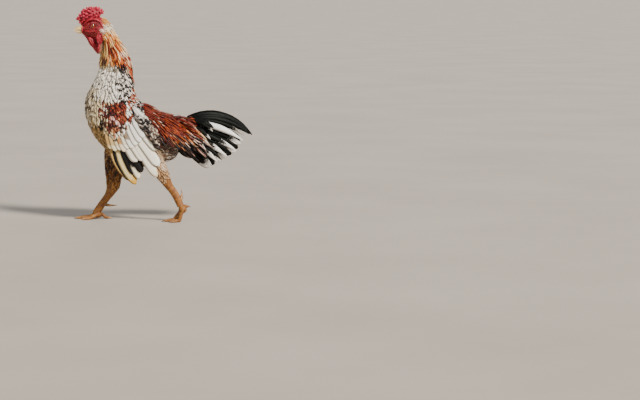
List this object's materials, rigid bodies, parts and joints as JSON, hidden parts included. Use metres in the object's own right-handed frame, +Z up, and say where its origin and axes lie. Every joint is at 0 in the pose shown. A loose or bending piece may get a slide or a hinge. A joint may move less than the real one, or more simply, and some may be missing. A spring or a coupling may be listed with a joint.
{
  "type": "vietnamese bantam cock",
  "caption": "Life-size walking bantam cock: lumpy red comb, pointed hackles, drooping wings, curved tail feathers, and scaled, spurred legs with spread toes.",
  "frame": {"origin": "on the floor, under the middle of the bird's length, in its plane of symmetry apart from the legs", "axes": "the bird faces -X, +Y is its right side and +Z is up"},
  "size_m": [0.3254, 0.0975, 0.3852],
  "materials": {
    "plumage_body": "white and cream feathers with black flecks, matt",
    "plumage_neck": "orange, cream and brown pointed hackles, soft sheen",
    "plumage_tail": "black feathers with white edges and tips, slight gloss",
    "plumage_wing": "white, grey and black flight feathers and coverts, matt",
    "plumage_thigh": "speckled brown, black and cream feathers, matt",
    "red_skin": "bare red skin, pebbled, slightly moist",
    "horn": "cream horn, satin",
    "claw_horn": "brown horn, satin",
    "eye": "orange-brown iris and black pupil under a clear wet surface",
    "leg_scale": "yellow-brown scaled skin, satin"
  },
  "bodies": {
    "root": {"torso": "plumage_body", "neck": "plumage_neck", "tail": "plumage_tail", "head": "red_skin", "bill_upper": "horn", "bill_lower": "horn", "comb": "red_skin", "eye_left": "eye", "earlobe_left": "red_skin", "wattle_left": "red_skin", "wing_left": "plumage_wing", "thigh_left": "plumage_thigh", "shank_left": "leg_scale", "spur_left": "claw_horn", "toe_left_inner": "leg_scale", "claw_left_inner": "claw_horn", "toe_left_middle": "leg_scale", "claw_left_middle": "claw_horn", "toe_left_outer": "leg_scale", "claw_left_outer": "claw_horn", "toe_left_hind": "leg_scale", "claw_left_hind": "claw_horn", "eye_right": "eye", "earlobe_right": "red_skin", "wattle_right": "red_skin", "wing_right": "plumage_wing", "thigh_right": "plumage_thigh", "shank_right": "leg_scale", "spur_right": "claw_horn", "toe_right_inner": "leg_scale", "claw_right_inner": "claw_horn", "toe_right_middle": "leg_scale", "claw_right_middle": "claw_horn", "toe_right_outer": "leg_scale", "claw_right_outer": "claw_horn", "toe_right_hind": "leg_scale", "claw_right_hind": "claw_horn"}
  },
  "joints": []
}
